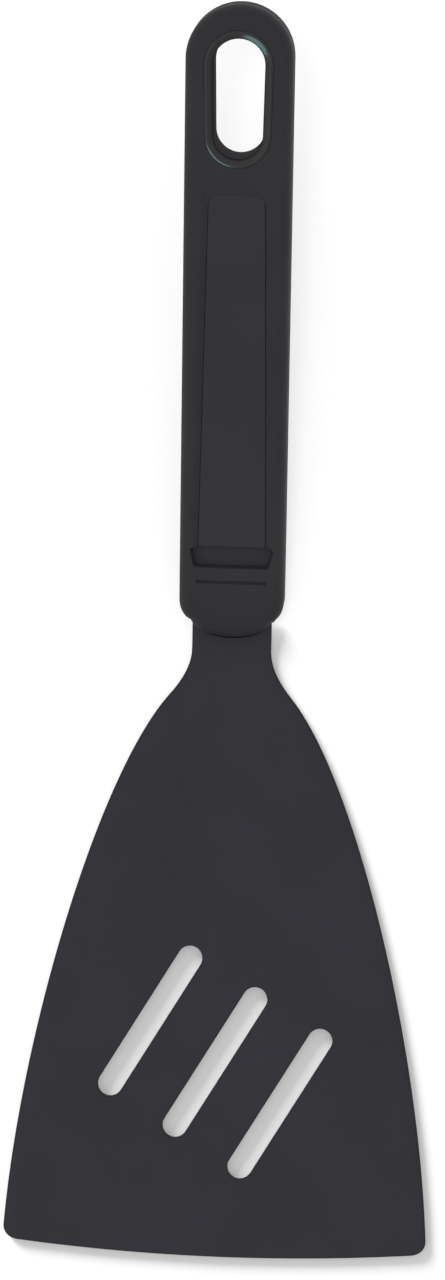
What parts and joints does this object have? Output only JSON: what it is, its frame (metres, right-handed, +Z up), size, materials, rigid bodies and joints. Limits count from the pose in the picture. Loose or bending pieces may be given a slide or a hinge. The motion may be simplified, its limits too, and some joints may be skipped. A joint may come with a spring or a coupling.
{
  "type": "grill spatula",
  "caption": "Slotted nylon turner: a flat fan-shaped blade with diagonal drain slots, a bent neck and a rising two-shell handle with a hang hole.",
  "frame": {"origin": "on the table under the middle of the whole spatula's bounding box, close to where the neck bends up", "axes": "+Y along the spatula from the blade's leading edge to the handle's hanging end, +Z up out of the blade's top face, +X to the right seen from above with the handle away from the viewer"},
  "size_m": [0.1032, 0.3001, 0.0447],
  "materials": {
    "blade_nylon": "matte",
    "shell_nylon": "satin",
    "inlay_plastic": "satin",
    "eyelet_plastic": "gloss",
    "stainless_steel": "satin",
    "rivet_aluminium": "satin"
  },
  "bodies": {
    "root": {"blade": "blade_nylon", "tang_stiffener": "stainless_steel", "handle_top_shell": "shell_nylon", "handle_bottom_shell": "shell_nylon", "grip_inlay": "inlay_plastic", "hang_hole_eyelet": "eyelet_plastic", "rivet_front": "rivet_aluminium", "rivet_middle": "rivet_aluminium", "rivet_rear": "rivet_aluminium"}
  },
  "joints": []
}
